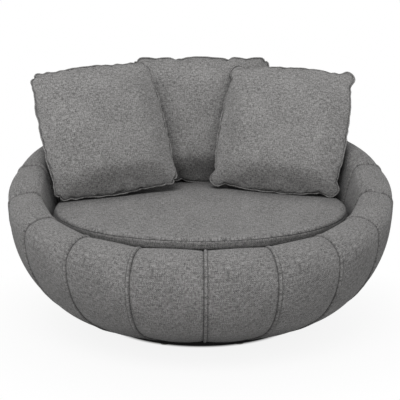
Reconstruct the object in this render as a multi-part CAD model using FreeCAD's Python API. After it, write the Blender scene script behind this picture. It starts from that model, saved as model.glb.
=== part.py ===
import FreeCAD, Part
import math
import os
from FreeCAD import Vector

# Round swivel cuddle chair. Origin on the floor on the swivel axis, +Z up, the front faces -Y.
# Driving dimensions, in millimetres and degrees.

# Tub: a padded bowl of gores, low at the front and high at the back
panel_count = 18
belly_radius = 674.0
belly_height_front = 270.0
belly_height_back = 649.0
belly_rise_power = 0.9
crest_radius_front = 585.0
crest_radius_back = 620.0
crest_height_front = 393.0
crest_height_back = 715.0
crest_rise_power = 1.41
underside_height = 28.0
underside_radius = 330.0
underside_slope_front = 1.5
underside_slope_back = 18.0
underside_slope_power = 0.5
cover_tail_radius = 200.0
well_radius = 530.0
well_top_offset = 1.0
well_top_flare = 35.0
well_foot_lift = 1.0
roll_drop_front = 67.0
roll_drop_back = 97.0
panel_puff = 5.0

# Layers of the tub, outside to inside
cover_thickness = 2.0
lay_gap = 0.8
foam_thickness = 25.0
rib_gap = 5.5
rib_thickness = 12.0
seam_gap = 0.6
joint_gap = 0.5

# Plinth and swivel
plinth_radius = 345.0
plinth_edging_thickness = 1.5
plinth_board_thickness = 18.0
plinth_height = 22.0
glide_count = 8
glide_radius = 15.0
glide_thickness = 4.0
glide_chamfer = 0.8
glide_edge_distance = 15.0
glide_offset_angle = 22.5
glide_screw_radius = 2.0
glide_screw_length = 15.0
glide_screw_low = 1.0
glide_head_radius = 4.0
glide_head_height = 2.0
plate_thickness = 2.0
plate_radius = 150.0
plate_hole_radius = 60.0
race_radius = 120.0
ball_radius = 2.5
race_clearance = 0.05
ball_count = 24
cage_width = 16.0
cage_thickness = 1.2
plate_screw_count = 6
lower_screw_circle = 85.0
upper_screw_circle = 140.0
screw_radius = 2.5
screw_head_radius = 5.0
screw_head_height = 1.8
screw_length = 12.0
bolt_radius = 6.0
bolt_head_across_flats = 19.0
bolt_head_height = 6.0
bolt_clearance = 1.0
bolt_bore_radius = 12.0
bolt_head_recess = 0.5
washer_radius = 15.0
washer_thickness = 2.0
washer_running_gap = 0.3
nut_height = 10.0
bolt_end_past_nut = 2.0
hole_clearance = 0.1

# Tub frame and seat deck
base_board_radius = 320.0
base_board_thickness = 15.0
rib_foot_inner = 168.0
rib_foot_outer = 310.0
rib_waist_pull = 45.0
deck_ring_inner = 450.0
deck_ring_setback = 4.0
deck_ring_thickness = 18.0
deck_ring_top = 304.0
rail_width = 30.0
rail_height = 30.0
rim_rail_drop = 48.0
rim_rail_offset = 6.0
belly_rail_drop = 60.0
webbing_count = 7
webbing_width = 60.0
webbing_pitch = 128.0
webbing_thickness = 2.5
deck_radius = 524.0
deck_pad_thickness = 8.0
deck_cloth_thickness = 1.5
dust_cover_thickness = 0.6
dust_cover_inner = 165.0
dust_cover_outer = 236.0

# Loose round seat cushion
seat_radius = 520.0
seat_rest_gap = 0.5
seat_edge_height = 409.0
seat_crown = 18.0
seat_shoulder = 26.0
seat_shoulder_drop_share = 0.45
seat_knee_setback_share = 0.32
seat_knee_drop_share = 0.4
seat_knee_inset_share = 0.7
seat_bottom_curve = 11.0
seat_boxing_bulge = 3.5
seat_fabric = 1.6
seat_zip_angle = 70.0
seat_zip_width = 12.0
seat_zip_stand = 0.4
seat_zip_thickness = 0.8
slider_width = 5.0
slider_thickness = 1.8
slider_length = 9.0
slider_angle = 3.0

# Loose scatter cushions: size, and where each one leans
cushion_height = 488.0
left_cushion_width = 470.0
right_cushion_width = 488.0
middle_cushion_width = 532.0
cushion_half_thickness = 66.0
cushion_edge_half = 5.0
cushion_tuck = 9.0
cushion_corner = 30.0
cushion_plumpness = 3.6
crown_edge_power = 2.2
crown_round_power = 0.75
panel_seam_half = 1.2
station_shares = (0.0, 0.14, 0.27, 0.37)
cushion_fabric = 1.4
piping_radius = 3.0
filling_inset = 13.0
filling_gap = 2.6
filling_edge_half = 1.5
cushion_zip_length = 220.0
cushion_zip_height = 4.0
cushion_zip_thickness = 2.4
cushion_zip_inset = 4.5
left_cushion_pose = {"centre": (-354.0, 214.0, 659.0), "yaw": 21.5, "tilt": 25.5, "roll": 4.5}
right_cushion_pose = {"centre": (315.0, 272.0, 650.0), "yaw": -19.5, "tilt": 26.0, "roll": -2.0}
middle_cushion_pose = {"centre": (10.0, 468.0, 663.0), "yaw": -1.0, "tilt": 15.0, "roll": 0.0}


# Plane curves: a point is Vector(x, y, 0) and a heading is in degrees from +x

def heading_vector(angle):
    return Vector(math.cos(math.radians(angle)), math.sin(math.radians(angle)), 0)


def left_of(direction):
    return Vector(-direction.y, direction.x, 0).normalize()


def tangent_arcs(start, start_heading, end, end_heading):
    """Two arcs that leave start and reach end on the given headings, each as (start, corner, end)."""
    leave = heading_vector(start_heading)
    arrive = heading_vector(end_heading)
    span = end - start
    along = span.dot(leave + arrive)
    spread = 2.0 * (1.0 - leave.dot(arrive))
    reach = (math.sqrt(along * along + spread * span.dot(span)) - along) / spread
    first_corner = start + leave * reach
    second_corner = end - arrive * reach
    joint = (first_corner + second_corner) * 0.5
    return [(start, first_corner, joint), (joint, second_corner, end)]


def arc_points(arc, inset=0.0):
    """Start, middle and end of an arc, moved to its left by inset."""
    start, corner, end = arc
    weight = (end - start).Length / 2.0 / (corner - start).Length
    middle = (start + end + corner * (2.0 * weight)) * (0.5 / (1.0 + weight))
    return (start + left_of(corner - start) * inset,
            middle + left_of(end - start) * inset,
            end + left_of(end - corner) * inset)


def edges_through(runs, to_space):
    """Edges in space along plane runs of two points (a line) or three points (an arc)."""
    edges = []
    for run in runs:
        points = [to_space(point) for point in run]
        if len(points) == 2:
            edges.append(Part.makeLine(*points))
        else:
            edges.append(Part.Arc(*points).toShape())
    return edges


def reversed_runs(runs):
    return [tuple(reversed(run)) for run in reversed(runs)]


def band_wire(outer_runs, inner_runs, to_space):
    """Closed wire round the band between two runs that start and end side by side."""
    runs = list(outer_runs)
    runs.append((outer_runs[-1][-1], inner_runs[-1][-1]))
    runs.extend(reversed_runs(inner_runs))
    runs.append((inner_runs[0][0], outer_runs[0][0]))
    return Part.Wire(edges_through(runs, to_space))


def radial_plane(azimuth, sideways=0.0):
    """Map (radius, height) to space on the half plane at an azimuth that counts from the front."""
    outward = Vector(math.sin(math.radians(azimuth)), -math.cos(math.radians(azimuth)), 0)
    across = Vector(-outward.y, outward.x, 0)

    def to_space(point):
        return outward * point.x + across * sideways + Vector(0, 0, point.y)
    return to_space


def disc(radius, low, high, hole_radius=0.0):
    shape = Part.makeCylinder(radius, high - low, Vector(0, 0, low))
    if hole_radius:
        shape = shape.cut(Part.makeCylinder(hole_radius, high - low, Vector(0, 0, low)))
    return shape


def ring_of(shape, count, offset_angle=0.0):
    """Copies of a shape spaced evenly round the swivel axis."""
    copies = []
    for index in range(count):
        copy = shape.copy()
        copy.rotate(Vector(0, 0, 0), Vector(0, 0, 1), offset_angle + 360.0 * index / count)
        copies.append(copy)
    return copies


def drilled(shape, start, radius, depth, count, offset_angle=0.0):
    """The shape with blind holes bored upwards from a start point and its copies round the axis."""
    hole = Part.makeCylinder(radius, depth, start)
    for copy in ring_of(hole, count, offset_angle):
        shape = shape.cut(copy)
    return shape


# Tub section: the profile of the padded bowl on one radial plane

def back_share(azimuth):
    """0 at the front of the tub and 1 at its back."""
    return (1.0 - math.cos(math.radians(azimuth))) / 2.0


def belly_point(azimuth, puff=0.0):
    rise = (belly_height_back - belly_height_front) * back_share(azimuth) ** belly_rise_power
    return Vector(belly_radius + puff, belly_height_front + rise, 0)


def crest_point(azimuth, puff=0.0):
    rise = (crest_height_back - crest_height_front) * back_share(azimuth) ** crest_rise_power
    radius = crest_radius_front + (crest_radius_back - crest_radius_front) * back_share(azimuth)
    return Vector(radius, crest_height_front + rise + puff, 0)


def tub_profile(azimuth, puff=0.0):
    """Arcs from the underside out over the belly and the crest and down into the well."""
    share = back_share(azimuth)
    underside = Vector(underside_radius, underside_height, 0)
    belly = belly_point(azimuth, puff)
    crest = crest_point(azimuth, puff)
    drop = roll_drop_front + (roll_drop_back - roll_drop_front) * share
    well_top_radius = well_radius + well_top_offset + well_top_flare * share
    well_top = Vector(well_top_radius - puff, crest_point(azimuth).y - drop, 0)
    well_foot = Vector(well_radius, deck_ring_top + well_foot_lift, 0)
    wall = well_foot - well_top
    wall_slant = math.degrees(math.atan2(wall.x, -wall.y))
    well_top_heading = 270.0 + 2.0 * wall_slant
    reach = wall.Length / 2.0 / math.cos(math.radians(wall_slant))
    steepening = (underside_slope_back - underside_slope_front) * share ** underside_slope_power
    arcs = tangent_arcs(underside, underside_slope_front + steepening, belly, 90.0)
    arcs += tangent_arcs(belly, 90.0, crest, 180.0)
    arcs += tangent_arcs(crest, 180.0, well_top, well_top_heading)
    arcs.append((well_top, well_foot + Vector(0, reach, 0), well_foot))
    return arcs


def profile_runs(azimuth, inset, puff=0.0, tail_radius=None):
    runs = [arc_points(arc, inset) for arc in tub_profile(azimuth, puff)]
    if tail_radius is not None:
        first = runs[0][0]
        runs.insert(0, (Vector(tail_radius, first.y, 0), first))
    return runs


def tub_gore(index, outer_inset, inner_inset, tail_radius=None):
    """One gore of a tub layer, puffed between the seams at its two sides."""
    pitch = 360.0 / panel_count
    left = index * pitch
    wires = []
    stations = ((left, seam_gap / 2.0, 0.0), (left + pitch / 2.0, 0.0, panel_puff),
                (left + pitch, -seam_gap / 2.0, 0.0))
    for azimuth, sideways, puff in stations:
        outer = profile_runs(azimuth, outer_inset, puff, tail_radius)
        inner = profile_runs(azimuth, inner_inset, puff, tail_radius)
        wires.append(band_wire(outer, inner, radial_plane(azimuth, sideways)))
    return Part.makeLoft(wires, True, False)


def cover_panel(index):
    return tub_gore(index, 0.0, cover_thickness, cover_tail_radius)


def tub_foam():
    outer_inset = cover_thickness + lay_gap
    gores = [tub_gore(index, outer_inset, outer_inset + foam_thickness) for index in range(panel_count)]
    return Part.makeCompound(gores)


# Tub frame: plywood ribs on a round board, tied by rails, with a ring that carries the seat deck

rib_inset = cover_thickness + lay_gap + foam_thickness + rib_gap
base_board_low = underside_height + cover_thickness
base_board_top = base_board_low + base_board_thickness
deck_ring_low = deck_ring_top - deck_ring_thickness
deck_ring_outer = well_radius + rib_inset - deck_ring_setback


def frame_rib(azimuth):
    """A C-shaped plywood rib with a foot on the base board and a ledge for the deck ring."""
    runs = profile_runs(azimuth, rib_inset)
    foot_inner = Vector(rib_foot_inner, base_board_top, 0)
    foot_outer = Vector(rib_foot_outer, base_board_top, 0)
    ledge_outer = Vector(well_radius + rib_inset, deck_ring_low, 0)
    ledge_inner = Vector(deck_ring_inner, deck_ring_low, 0)
    waist = (ledge_inner + foot_inner) * 0.5 + Vector(rib_waist_pull, -rib_waist_pull, 0)
    outline = [(foot_inner, foot_outer), (foot_outer, runs[0][0])] + runs
    outline += [(runs[-1][-1], ledge_outer), (ledge_outer, ledge_inner), (ledge_inner, waist, foot_inner)]
    to_space = radial_plane(azimuth, -rib_thickness / 2.0)
    face = Part.Face(Part.Wire(edges_through(outline, to_space)))
    across = to_space(Vector(0, 0, 0)) * (-2.0)
    return face.extrude(across)


def frame_ribs():
    pitch = 360.0 / panel_count
    return Part.makeCompound([frame_rib(index * pitch) for index in range(panel_count)])


def rail_wire(azimuth, sideways, centre):
    corners = []
    for across, up in ((-1, -1), (1, -1), (1, 1), (-1, 1)):
        corners.append(centre + Vector(across * rail_width / 2.0, up * rail_height / 2.0, 0))
    to_space = radial_plane(azimuth, sideways)
    points = [to_space(corner) for corner in corners]
    return Part.makePolygon(points + points[:1])


def rim_rail_centre(azimuth):
    down = rib_inset + rim_rail_drop - rail_height / 2.0
    return crest_point(azimuth) + Vector(rim_rail_offset, -down, 0)


def belly_rail_centre(azimuth):
    return belly_point(azimuth) - Vector(rib_inset + rail_width, belly_rail_drop, 0)


def spacer_rails():
    """Rails between neighbouring ribs, one run under the crest and one behind the belly."""
    pitch = 360.0 / panel_count
    half = rib_thickness / 2.0
    rails = []
    for index in range(panel_count):
        here = index * pitch
        there = here + pitch
        for centre in (rim_rail_centre, belly_rail_centre):
            ends = [rail_wire(here, half, centre(here)), rail_wire(there, -half, centre(there))]
            rails.append(Part.makeLoft(ends, True, True))
    return Part.makeCompound(rails)


def tub_base_board():
    board = disc(base_board_radius, base_board_low, base_board_top, bolt_radius + bolt_clearance)
    start = Vector(0, -upper_screw_circle, base_board_low)
    return drilled(board, start, screw_radius, screw_length, plate_screw_count)


def deck_ring():
    return disc(deck_ring_outer, deck_ring_low, deck_ring_top, deck_ring_inner)


def deck_webbing():
    """Straps across the deck ring in two layers, front to back and side to side."""
    straps = []
    for layer in range(2):
        low = deck_ring_top + layer * webbing_thickness
        for index in range(webbing_count):
            offset = (index - (webbing_count - 1) / 2.0) * webbing_pitch
            edge = abs(offset) + webbing_width / 2.0
            half_length = math.sqrt(deck_radius ** 2 - edge ** 2)
            strap = Part.makeBox(webbing_width, 2.0 * half_length, webbing_thickness,
                                 Vector(offset - webbing_width / 2.0, -half_length, low))
            if layer:
                strap.rotate(Vector(0, 0, 0), Vector(0, 0, 1), 90)
            straps.append(strap)
    return Part.makeCompound(straps)


deck_pad_low = deck_ring_top + 2.0 * webbing_thickness
deck_cloth_low = deck_pad_low + deck_pad_thickness
deck_top = deck_cloth_low + deck_cloth_thickness


def deck_pad():
    return disc(deck_radius, deck_pad_low, deck_cloth_low)


def deck_cloth():
    return disc(deck_radius, deck_cloth_low, deck_top)


def dust_cover():
    low = underside_height - dust_cover_thickness
    return disc(dust_cover_outer, low, underside_height, dust_cover_inner)


# Plinth and swivel bearing

plinth_board_low = plinth_height - plinth_board_thickness
bolt_head_low = plinth_board_low + bolt_head_recess
bolt_head_top = bolt_head_low + bolt_head_height
upper_plate_low = base_board_low - plate_thickness
race_height = (plinth_height + base_board_low) / 2.0


def plinth_edging():
    return disc(plinth_radius, plinth_board_low, plinth_height, plinth_radius - plinth_edging_thickness)


def plinth_board():
    """Round board with a bore that sinks the bolt's head, and with its screw holes."""
    board = disc(plinth_radius - plinth_edging_thickness, plinth_board_low, plinth_height, bolt_radius)
    board = board.cut(disc(bolt_bore_radius, plinth_board_low, bolt_head_top))
    start = Vector(0, -lower_screw_circle, plinth_height + plate_thickness - screw_length)
    board = drilled(board, start, screw_radius, screw_length, plate_screw_count)
    start = glide_centre() + Vector(0, 0, glide_screw_low)
    return drilled(board, start, glide_screw_radius, glide_screw_length, glide_count, glide_offset_angle)


def glide_centre():
    return Vector(0, -(plinth_radius - glide_edge_distance), 0)


def floor_glides():
    """Nylon buttons, each with a counterbored and countersunk screw hole."""
    centre = glide_centre()
    glide = Part.makeCylinder(glide_radius, glide_thickness, centre)
    glide = glide.makeChamfer(glide_chamfer, [edge for edge in glide.Edges if edge.CenterOfMass.z < 0.1])
    glide = glide.cut(Part.makeCylinder(glide_screw_radius, glide_thickness, centre))
    glide = glide.cut(Part.makeCylinder(glide_head_radius, glide_screw_low, centre))
    sink = Part.makeCone(glide_head_radius, glide_screw_radius, glide_head_height,
                         centre + Vector(0, 0, glide_screw_low))
    return Part.makeCompound(ring_of(glide.cut(sink), glide_count, glide_offset_angle))


def glide_screws():
    start = glide_centre() + Vector(0, 0, glide_screw_low)
    head = Part.makeCone(glide_head_radius, glide_screw_radius, glide_head_height, start)
    shank = Part.makeCylinder(glide_screw_radius, glide_screw_length, start)
    screw = head.fuse(shank).removeSplitter()
    return Part.makeCompound(ring_of(screw, glide_count, glide_offset_angle))


def race_plate(low):
    plate = disc(plate_radius, low, low + plate_thickness, plate_hole_radius)
    race = Part.makeTorus(race_radius, ball_radius + race_clearance, Vector(0, 0, race_height))
    return plate.cut(race)


def drill_for_screws(plate, circle):
    hole = Part.makeCylinder(screw_radius + hole_clearance, base_board_top, Vector(0, -circle, 0))
    for copy in ring_of(hole, plate_screw_count):
        plate = plate.cut(copy)
    return plate


def swivel_lower_plate():
    return drill_for_screws(race_plate(plinth_height), lower_screw_circle)


def swivel_upper_plate():
    return drill_for_screws(race_plate(upper_plate_low), upper_screw_circle)


def plate_screws(circle, face_height, into):
    """Pan-head screws on a circle; into is +1 for screws driven up and -1 for screws driven down."""
    centre = Vector(0, -circle, face_height)
    up = Vector(0, 0, into)
    head = Part.makeCylinder(screw_head_radius, screw_head_height, centre, up * (-1.0))
    shank = Part.makeCylinder(screw_radius, screw_length, centre, up)
    return Part.makeCompound(ring_of(head.fuse(shank).removeSplitter(), plate_screw_count))


def ball_cage():
    low = race_height - cage_thickness / 2.0
    cage = disc(race_radius + cage_width / 2.0, low, low + cage_thickness, race_radius - cage_width / 2.0)
    pocket = Part.makeCylinder(ball_radius + hole_clearance, cage_thickness, Vector(0, -race_radius, low))
    for copy in ring_of(pocket, ball_count):
        cage = cage.cut(copy)
    return cage


def bearing_balls():
    ball = Part.makeSphere(ball_radius, Vector(0, -race_radius, race_height))
    return Part.makeCompound(ring_of(ball, ball_count))


def hexagon(across_flats, low, high):
    radius = across_flats / math.sqrt(3.0)
    points = []
    for index in range(7):
        angle = math.radians(60 * index)
        points.append(Vector(radius * math.cos(angle), radius * math.sin(angle), low))
    return Part.Face(Part.makePolygon(points)).extrude(Vector(0, 0, high - low))


washer_low = base_board_top + washer_running_gap
nut_low = washer_low + washer_thickness


def centre_bolt():
    head = hexagon(bolt_head_across_flats, bolt_head_low, bolt_head_top)
    shank = disc(bolt_radius, bolt_head_top, nut_low + nut_height + bolt_end_past_nut)
    return head.fuse(shank).removeSplitter()


def thrust_washer():
    return disc(washer_radius, washer_low, nut_low, bolt_radius)


def lock_nut():
    nut = hexagon(bolt_head_across_flats, nut_low, nut_low + nut_height)
    return nut.cut(disc(bolt_radius, nut_low, nut_low + nut_height))


# Round seat cushion: turned sections, with crowned panels drawn in at a stitched edge

seat_low = deck_top + seat_rest_gap


def turned(runs, angle=360.0):
    to_space = radial_plane(0.0)
    face = Part.Face(Part.Wire(edges_through(runs, to_space)))
    return face.revolve(Vector(0, 0, 0), Vector(0, 0, 1), angle)


def seat_panel_runs(edge_height, crown_height, inset, up):
    """Half section of a crowned panel, axis to edge; up is 1 for the top and -1 for the bottom."""
    centre = Vector(0, crown_height - up * inset, 0)
    shoulder_drop = (crown_height - edge_height) * seat_shoulder_drop_share
    shoulder = Vector(seat_radius - seat_shoulder, centre.y - shoulder_drop, 0)
    edge = Vector(seat_radius - inset, edge_height, 0)
    crown_radius = (shoulder.x ** 2 + shoulder_drop ** 2) / (2.0 * shoulder_drop)
    middle_drop = abs(crown_radius) - math.sqrt(crown_radius ** 2 - (shoulder.x / 2.0) ** 2)
    middle = Vector(shoulder.x / 2.0, centre.y - math.copysign(middle_drop, shoulder_drop), 0)
    knee_setback = seat_shoulder * seat_knee_setback_share + inset * seat_knee_inset_share
    knee = Vector(seat_radius - knee_setback, shoulder.y + (edge.y - shoulder.y) * seat_knee_drop_share, 0)
    return [(centre, middle, shoulder), (shoulder, knee, edge)]


def seat_panel(edge_height, crown_height, up):
    outer = seat_panel_runs(edge_height, crown_height, 0.0, up)
    inner = seat_panel_runs(edge_height, crown_height, seat_fabric, up)
    runs = outer + [(outer[-1][-1], inner[-1][-1])] + reversed_runs(inner) + [(inner[0][0], outer[0][0])]
    return turned(runs)


seat_top_edge = seat_edge_height
seat_top_crown = seat_edge_height + seat_crown
seat_bottom_edge = seat_low + seat_bottom_curve
seat_edge_middle = (seat_bottom_edge + seat_top_edge) / 2.0


def seat_cushion_top():
    return seat_panel(seat_top_edge, seat_top_crown, 1)


def seat_cushion_bottom():
    return seat_panel(seat_bottom_edge, seat_low, -1)


def boxing_runs(radius, low, high):
    return (Vector(radius, low, 0), Vector(radius + seat_boxing_bulge, (low + high) / 2.0, 0),
            Vector(radius, high, 0))


def seat_cushion_boxing():
    low = seat_bottom_edge + joint_gap
    high = seat_top_edge - joint_gap
    outer = [boxing_runs(seat_radius, low, high)]
    inner = [boxing_runs(seat_radius - seat_fabric, low, high)]
    runs = outer + [(outer[0][-1], inner[0][-1])] + reversed_runs(inner) + [(inner[0][0], outer[0][0])]
    return turned(runs)


def seat_cushion_foam():
    inset = seat_fabric + lay_gap
    top = seat_panel_runs(seat_top_edge, seat_top_crown, inset, 1)
    bottom = seat_panel_runs(seat_bottom_edge, seat_low, inset, -1)
    bulge = Vector(seat_radius + seat_boxing_bulge - seat_fabric - 2.0 * lay_gap, seat_edge_middle, 0)
    side = (bottom[-1][-1], bulge, top[-1][-1])
    return turned(bottom + [side] + reversed_runs(top) + [(top[0][0], bottom[0][0])])


def seat_cushion_zip():
    """Zip tape with its slider, on the boxing at the back."""
    inner = seat_radius + seat_boxing_bulge + seat_zip_stand
    outer = inner + seat_zip_thickness
    low = seat_edge_middle - seat_zip_width / 2.0
    wedge = Part.makeCylinder(2.0 * outer, seat_zip_width, Vector(0, 0, low), Vector(0, 0, 1),
                              seat_zip_angle)
    wedge.rotate(Vector(0, 0, 0), Vector(0, 0, 1), 90.0 - seat_zip_angle / 2.0)
    tape = disc(outer, low, low + seat_zip_width, inner).common(wedge)
    corner = Vector(-slider_width / 2.0, outer, seat_edge_middle - slider_length / 2.0)
    slider = Part.makeBox(slider_width, slider_thickness, slider_length, corner)
    slider.rotate(Vector(0, 0, 0), Vector(0, 0, 1), slider_angle - seat_zip_angle / 2.0)
    return Part.makeCompound([tape, slider])


# Scatter cushions: built upright in the XZ plane about their own centre, face to -Y, then leaned in place

def placed(shape, pose):
    shape.rotate(Vector(0, 0, 0), Vector(0, 1, 0), -pose["roll"])
    shape.rotate(Vector(0, 0, 0), Vector(1, 0, 0), -pose["tilt"])
    shape.rotate(Vector(0, 0, 0), Vector(0, 0, 1), pose["yaw"])
    shape.translate(Vector(*pose["centre"]))
    return shape


def edge_height_at(across, width):
    """Half height of the cushion at a distance across it: drawn in at mid edge, round at the corners."""
    share = 2.0 * abs(across) / width
    half = cushion_height / 2.0 - cushion_tuck * (1.0 - share ** 2)
    into_corner = abs(across) - (width / 2.0 - cushion_corner)
    if into_corner > 0:
        half -= cushion_corner - math.sqrt(max(cushion_corner ** 2 - into_corner ** 2, 0.0))
    return half


def crown_at(across, width, peak):
    share = 2.0 * abs(across) / width
    rise = (1.0 - share ** crown_edge_power) ** crown_round_power
    return cushion_edge_half + (peak - cushion_edge_half) * rise


def stations(width):
    """Places across a cushion where its sections stand."""
    corner = cushion_corner * (1.0 - math.sqrt(0.5))
    right = [width * share for share in station_shares]
    right += [width / 2.0 - cushion_corner, width / 2.0 - corner, width / 2.0]
    return [-place for place in reversed(right[1:])] + right


def crown_arcs(half, crown, seam_half):
    """Front of one section from its lower seam over the crown to its upper seam, in (height, depth)."""
    slope = math.degrees(math.atan(cushion_plumpness * crown / half))
    low = Vector(-half, seam_half, 0)
    top = Vector(0, crown, 0)
    high = Vector(half, seam_half, 0)
    return tangent_arcs(low, slope, top, 0.0) + tangent_arcs(top, 0.0, high, -slope)


def section_plane(across, face):
    """Map (height, depth) to space at a place across; face is 1 for the front, -1 for the back."""
    def to_space(point):
        return Vector(across, -face * point.y, point.x)
    return to_space


def seam_plane(point):
    """Map (across, height) to space on the cushion's own middle plane."""
    return Vector(point.x, 0, point.y)


def cushion_panel(width, face):
    wires = []
    for across in stations(width):
        half = edge_height_at(across, width)
        crown = crown_at(across, width, cushion_half_thickness)
        arcs = crown_arcs(half, crown, panel_seam_half + cushion_fabric)
        outer = [arc_points(arc) for arc in arcs]
        inner = [arc_points(arc, -cushion_fabric) for arc in arcs]
        wires.append(band_wire(outer, inner, section_plane(across, face)))
    return Part.makeLoft(wires, True, False)


def cushion_filling(width):
    inner_width = width - 2.0 * filling_inset
    wires = []
    for across in stations(inner_width):
        half = edge_height_at(across, inner_width) - filling_inset
        crown = crown_at(across, inner_width, cushion_half_thickness - cushion_fabric - filling_gap)
        arcs = crown_arcs(half, crown, filling_edge_half)
        front = edges_through([arc_points(arc) for arc in arcs], section_plane(across, 1))
        back = edges_through([arc_points(arc) for arc in arcs], section_plane(across, -1))
        tips = []
        for height in (half, -half):
            tips.append(Part.makeLine(Vector(across, -filling_edge_half, height),
                                      Vector(across, filling_edge_half, height)))
        wires.append(Part.Wire(front + [tips[0]] + back[::-1] + [tips[1]]))
    return Part.makeLoft(wires, True, False)


def cushion_piping(width):
    """Corded edge that runs round the seam in one loop."""
    out = piping_radius + joint_gap
    side = width / 2.0 + out
    mid_top = cushion_height / 2.0 - cushion_tuck + out
    corner_start = width / 2.0 - cushion_corner
    corner_top = edge_height_at(corner_start, width) + out
    slope = math.degrees(2.0 * math.atan((corner_top - mid_top) / corner_start))
    side_top = cushion_height / 2.0 - cushion_corner
    right_start = Vector(corner_start, corner_top, 0)
    right_side = Vector(side, side_top, 0)
    top_run = (Vector(-corner_start, corner_top, 0), Vector(0, mid_top, 0), right_start)
    corner = [arc_points(arc) for arc in tangent_arcs(right_start, slope, right_side, -90.0)]
    lower_corner = [tuple(Vector(p.x, -p.y, 0) for p in run) for run in reversed_runs(corner)]
    right_half = [top_run] + corner + [(right_side, Vector(side, -side_top, 0))] + lower_corner
    left_half = [tuple(p * (-1.0) for p in run) for run in right_half]
    path = Part.Wire(edges_through(right_half + left_half, seam_plane))
    start = seam_plane(top_run[0])
    ring = Part.makeCircle(piping_radius, start, seam_plane(heading_vector(slope)))
    return path.makePipeShell([Part.Wire(ring)], True, False)


def cushion_zip(width):
    """Zip closed inside the lower seam."""
    low = cushion_zip_inset - edge_height_at(0.0, width)
    corner = Vector(-cushion_zip_length / 2.0, -cushion_zip_thickness / 2.0, low)
    return Part.makeBox(cushion_zip_length, cushion_zip_thickness, cushion_zip_height, corner)


def scatter_cushion(name, width, pose):
    pieces = {"front": cushion_panel(width, 1), "back": cushion_panel(width, -1),
              "filling": cushion_filling(width), "piping": cushion_piping(width), "zip": cushion_zip(width)}
    return {name + "_cushion_" + part: placed(shape, pose) for part, shape in pieces.items()}


def all_parts():
    parts = {
        "plinth_edging": plinth_edging(),
        "plinth_board": plinth_board(),
        "floor_glides": floor_glides(),
        "glide_screws": glide_screws(),
        "swivel_lower_plate": swivel_lower_plate(),
        "lower_plate_screws": plate_screws(lower_screw_circle, plinth_height + plate_thickness, -1),
        "centre_bolt": centre_bolt(),
        "thrust_washer": thrust_washer(),
        "lock_nut": lock_nut(),
        "ball_cage": ball_cage(),
        "bearing_balls": bearing_balls(),
        "swivel_upper_plate": swivel_upper_plate(),
        "upper_plate_screws": plate_screws(upper_screw_circle, upper_plate_low, 1),
        "tub_base_board": tub_base_board(),
        "frame_ribs": frame_ribs(),
        "spacer_rails": spacer_rails(),
        "deck_ring": deck_ring(),
        "deck_webbing": deck_webbing(),
        "deck_pad": deck_pad(),
        "deck_cloth": deck_cloth(),
        "dust_cover": dust_cover(),
        "tub_foam": tub_foam(),
        "seat_cushion_foam": seat_cushion_foam(),
        "seat_cushion_top": seat_cushion_top(),
        "seat_cushion_bottom": seat_cushion_bottom(),
        "seat_cushion_boxing": seat_cushion_boxing(),
        "seat_cushion_zip": seat_cushion_zip(),
    }
    for index in range(panel_count):
        parts["cover_panel_%02d" % (index + 1)] = cover_panel(index)
    parts.update(scatter_cushion("left", left_cushion_width, left_cushion_pose))
    parts.update(scatter_cushion("right", right_cushion_width, right_cushion_pose))
    parts.update(scatter_cushion("middle", middle_cushion_width, middle_cushion_pose))
    return parts


os.makedirs("parts", exist_ok=True)
for node, shape in all_parts().items():
    shape.exportStep("parts/" + node + ".step")
    box = shape.BoundBox
    print("%-24s %3d solids, valid %s, z %.1f to %.1f" % (
        node, len(shape.Solids), shape.isValid(), box.ZMin, box.ZMax))
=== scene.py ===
import math

import bmesh
import bpy
from mathutils import Matrix, Vector, noise


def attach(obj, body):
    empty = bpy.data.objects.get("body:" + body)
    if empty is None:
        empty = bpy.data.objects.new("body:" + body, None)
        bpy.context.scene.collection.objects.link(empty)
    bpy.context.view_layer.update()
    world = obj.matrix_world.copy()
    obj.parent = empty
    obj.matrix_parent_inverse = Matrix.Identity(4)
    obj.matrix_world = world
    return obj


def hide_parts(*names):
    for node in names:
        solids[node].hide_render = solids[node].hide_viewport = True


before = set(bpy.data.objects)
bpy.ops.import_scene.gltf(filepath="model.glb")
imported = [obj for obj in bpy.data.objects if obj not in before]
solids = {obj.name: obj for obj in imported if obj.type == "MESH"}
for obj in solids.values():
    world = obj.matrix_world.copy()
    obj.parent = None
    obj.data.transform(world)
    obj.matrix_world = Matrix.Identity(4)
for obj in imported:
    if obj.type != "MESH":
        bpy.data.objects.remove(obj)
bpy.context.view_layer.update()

# Plinth: a round board, lacquered black so that it goes unseen under the tub, with a black band glued
# round its edge. It stands on nylon glides, each held by a screw, and carries the swivel.
lacquer_black = (0.011, 0.011, 0.012, 1.0)
lacquer_worn = (0.035, 0.034, 0.033, 1.0)
band_black = (0.003, 0.003, 0.003, 1.0)
nylon_milk = (0.52, 0.51, 0.47, 1.0)
nylon_shade = (0.43, 0.42, 0.38, 1.0)


def start_finish(name, roughness, metallic=0.0):
    """A new material and its shader, with the values that are the same all over the surface."""
    finish = bpy.data.materials.new(name)
    finish.use_nodes = True
    shader = finish.node_tree.nodes["Principled BSDF"]
    shader.inputs["Roughness"].default_value = roughness
    shader.inputs["Metallic"].default_value = metallic
    return finish, shader


def add_node(finish, kind, settings=None, inputs=None):
    """A node of that kind; an input is a plain value or the output of another node."""
    node = finish.node_tree.nodes.new("ShaderNode" + kind)
    for name, value in (settings or {}).items():
        setattr(node, name, value)
    for name, value in (inputs or {}).items():
        if isinstance(value, bpy.types.NodeSocket):
            finish.node_tree.links.new(value, node.inputs[name])
        else:
            node.inputs[name].default_value = value
    return node


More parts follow.
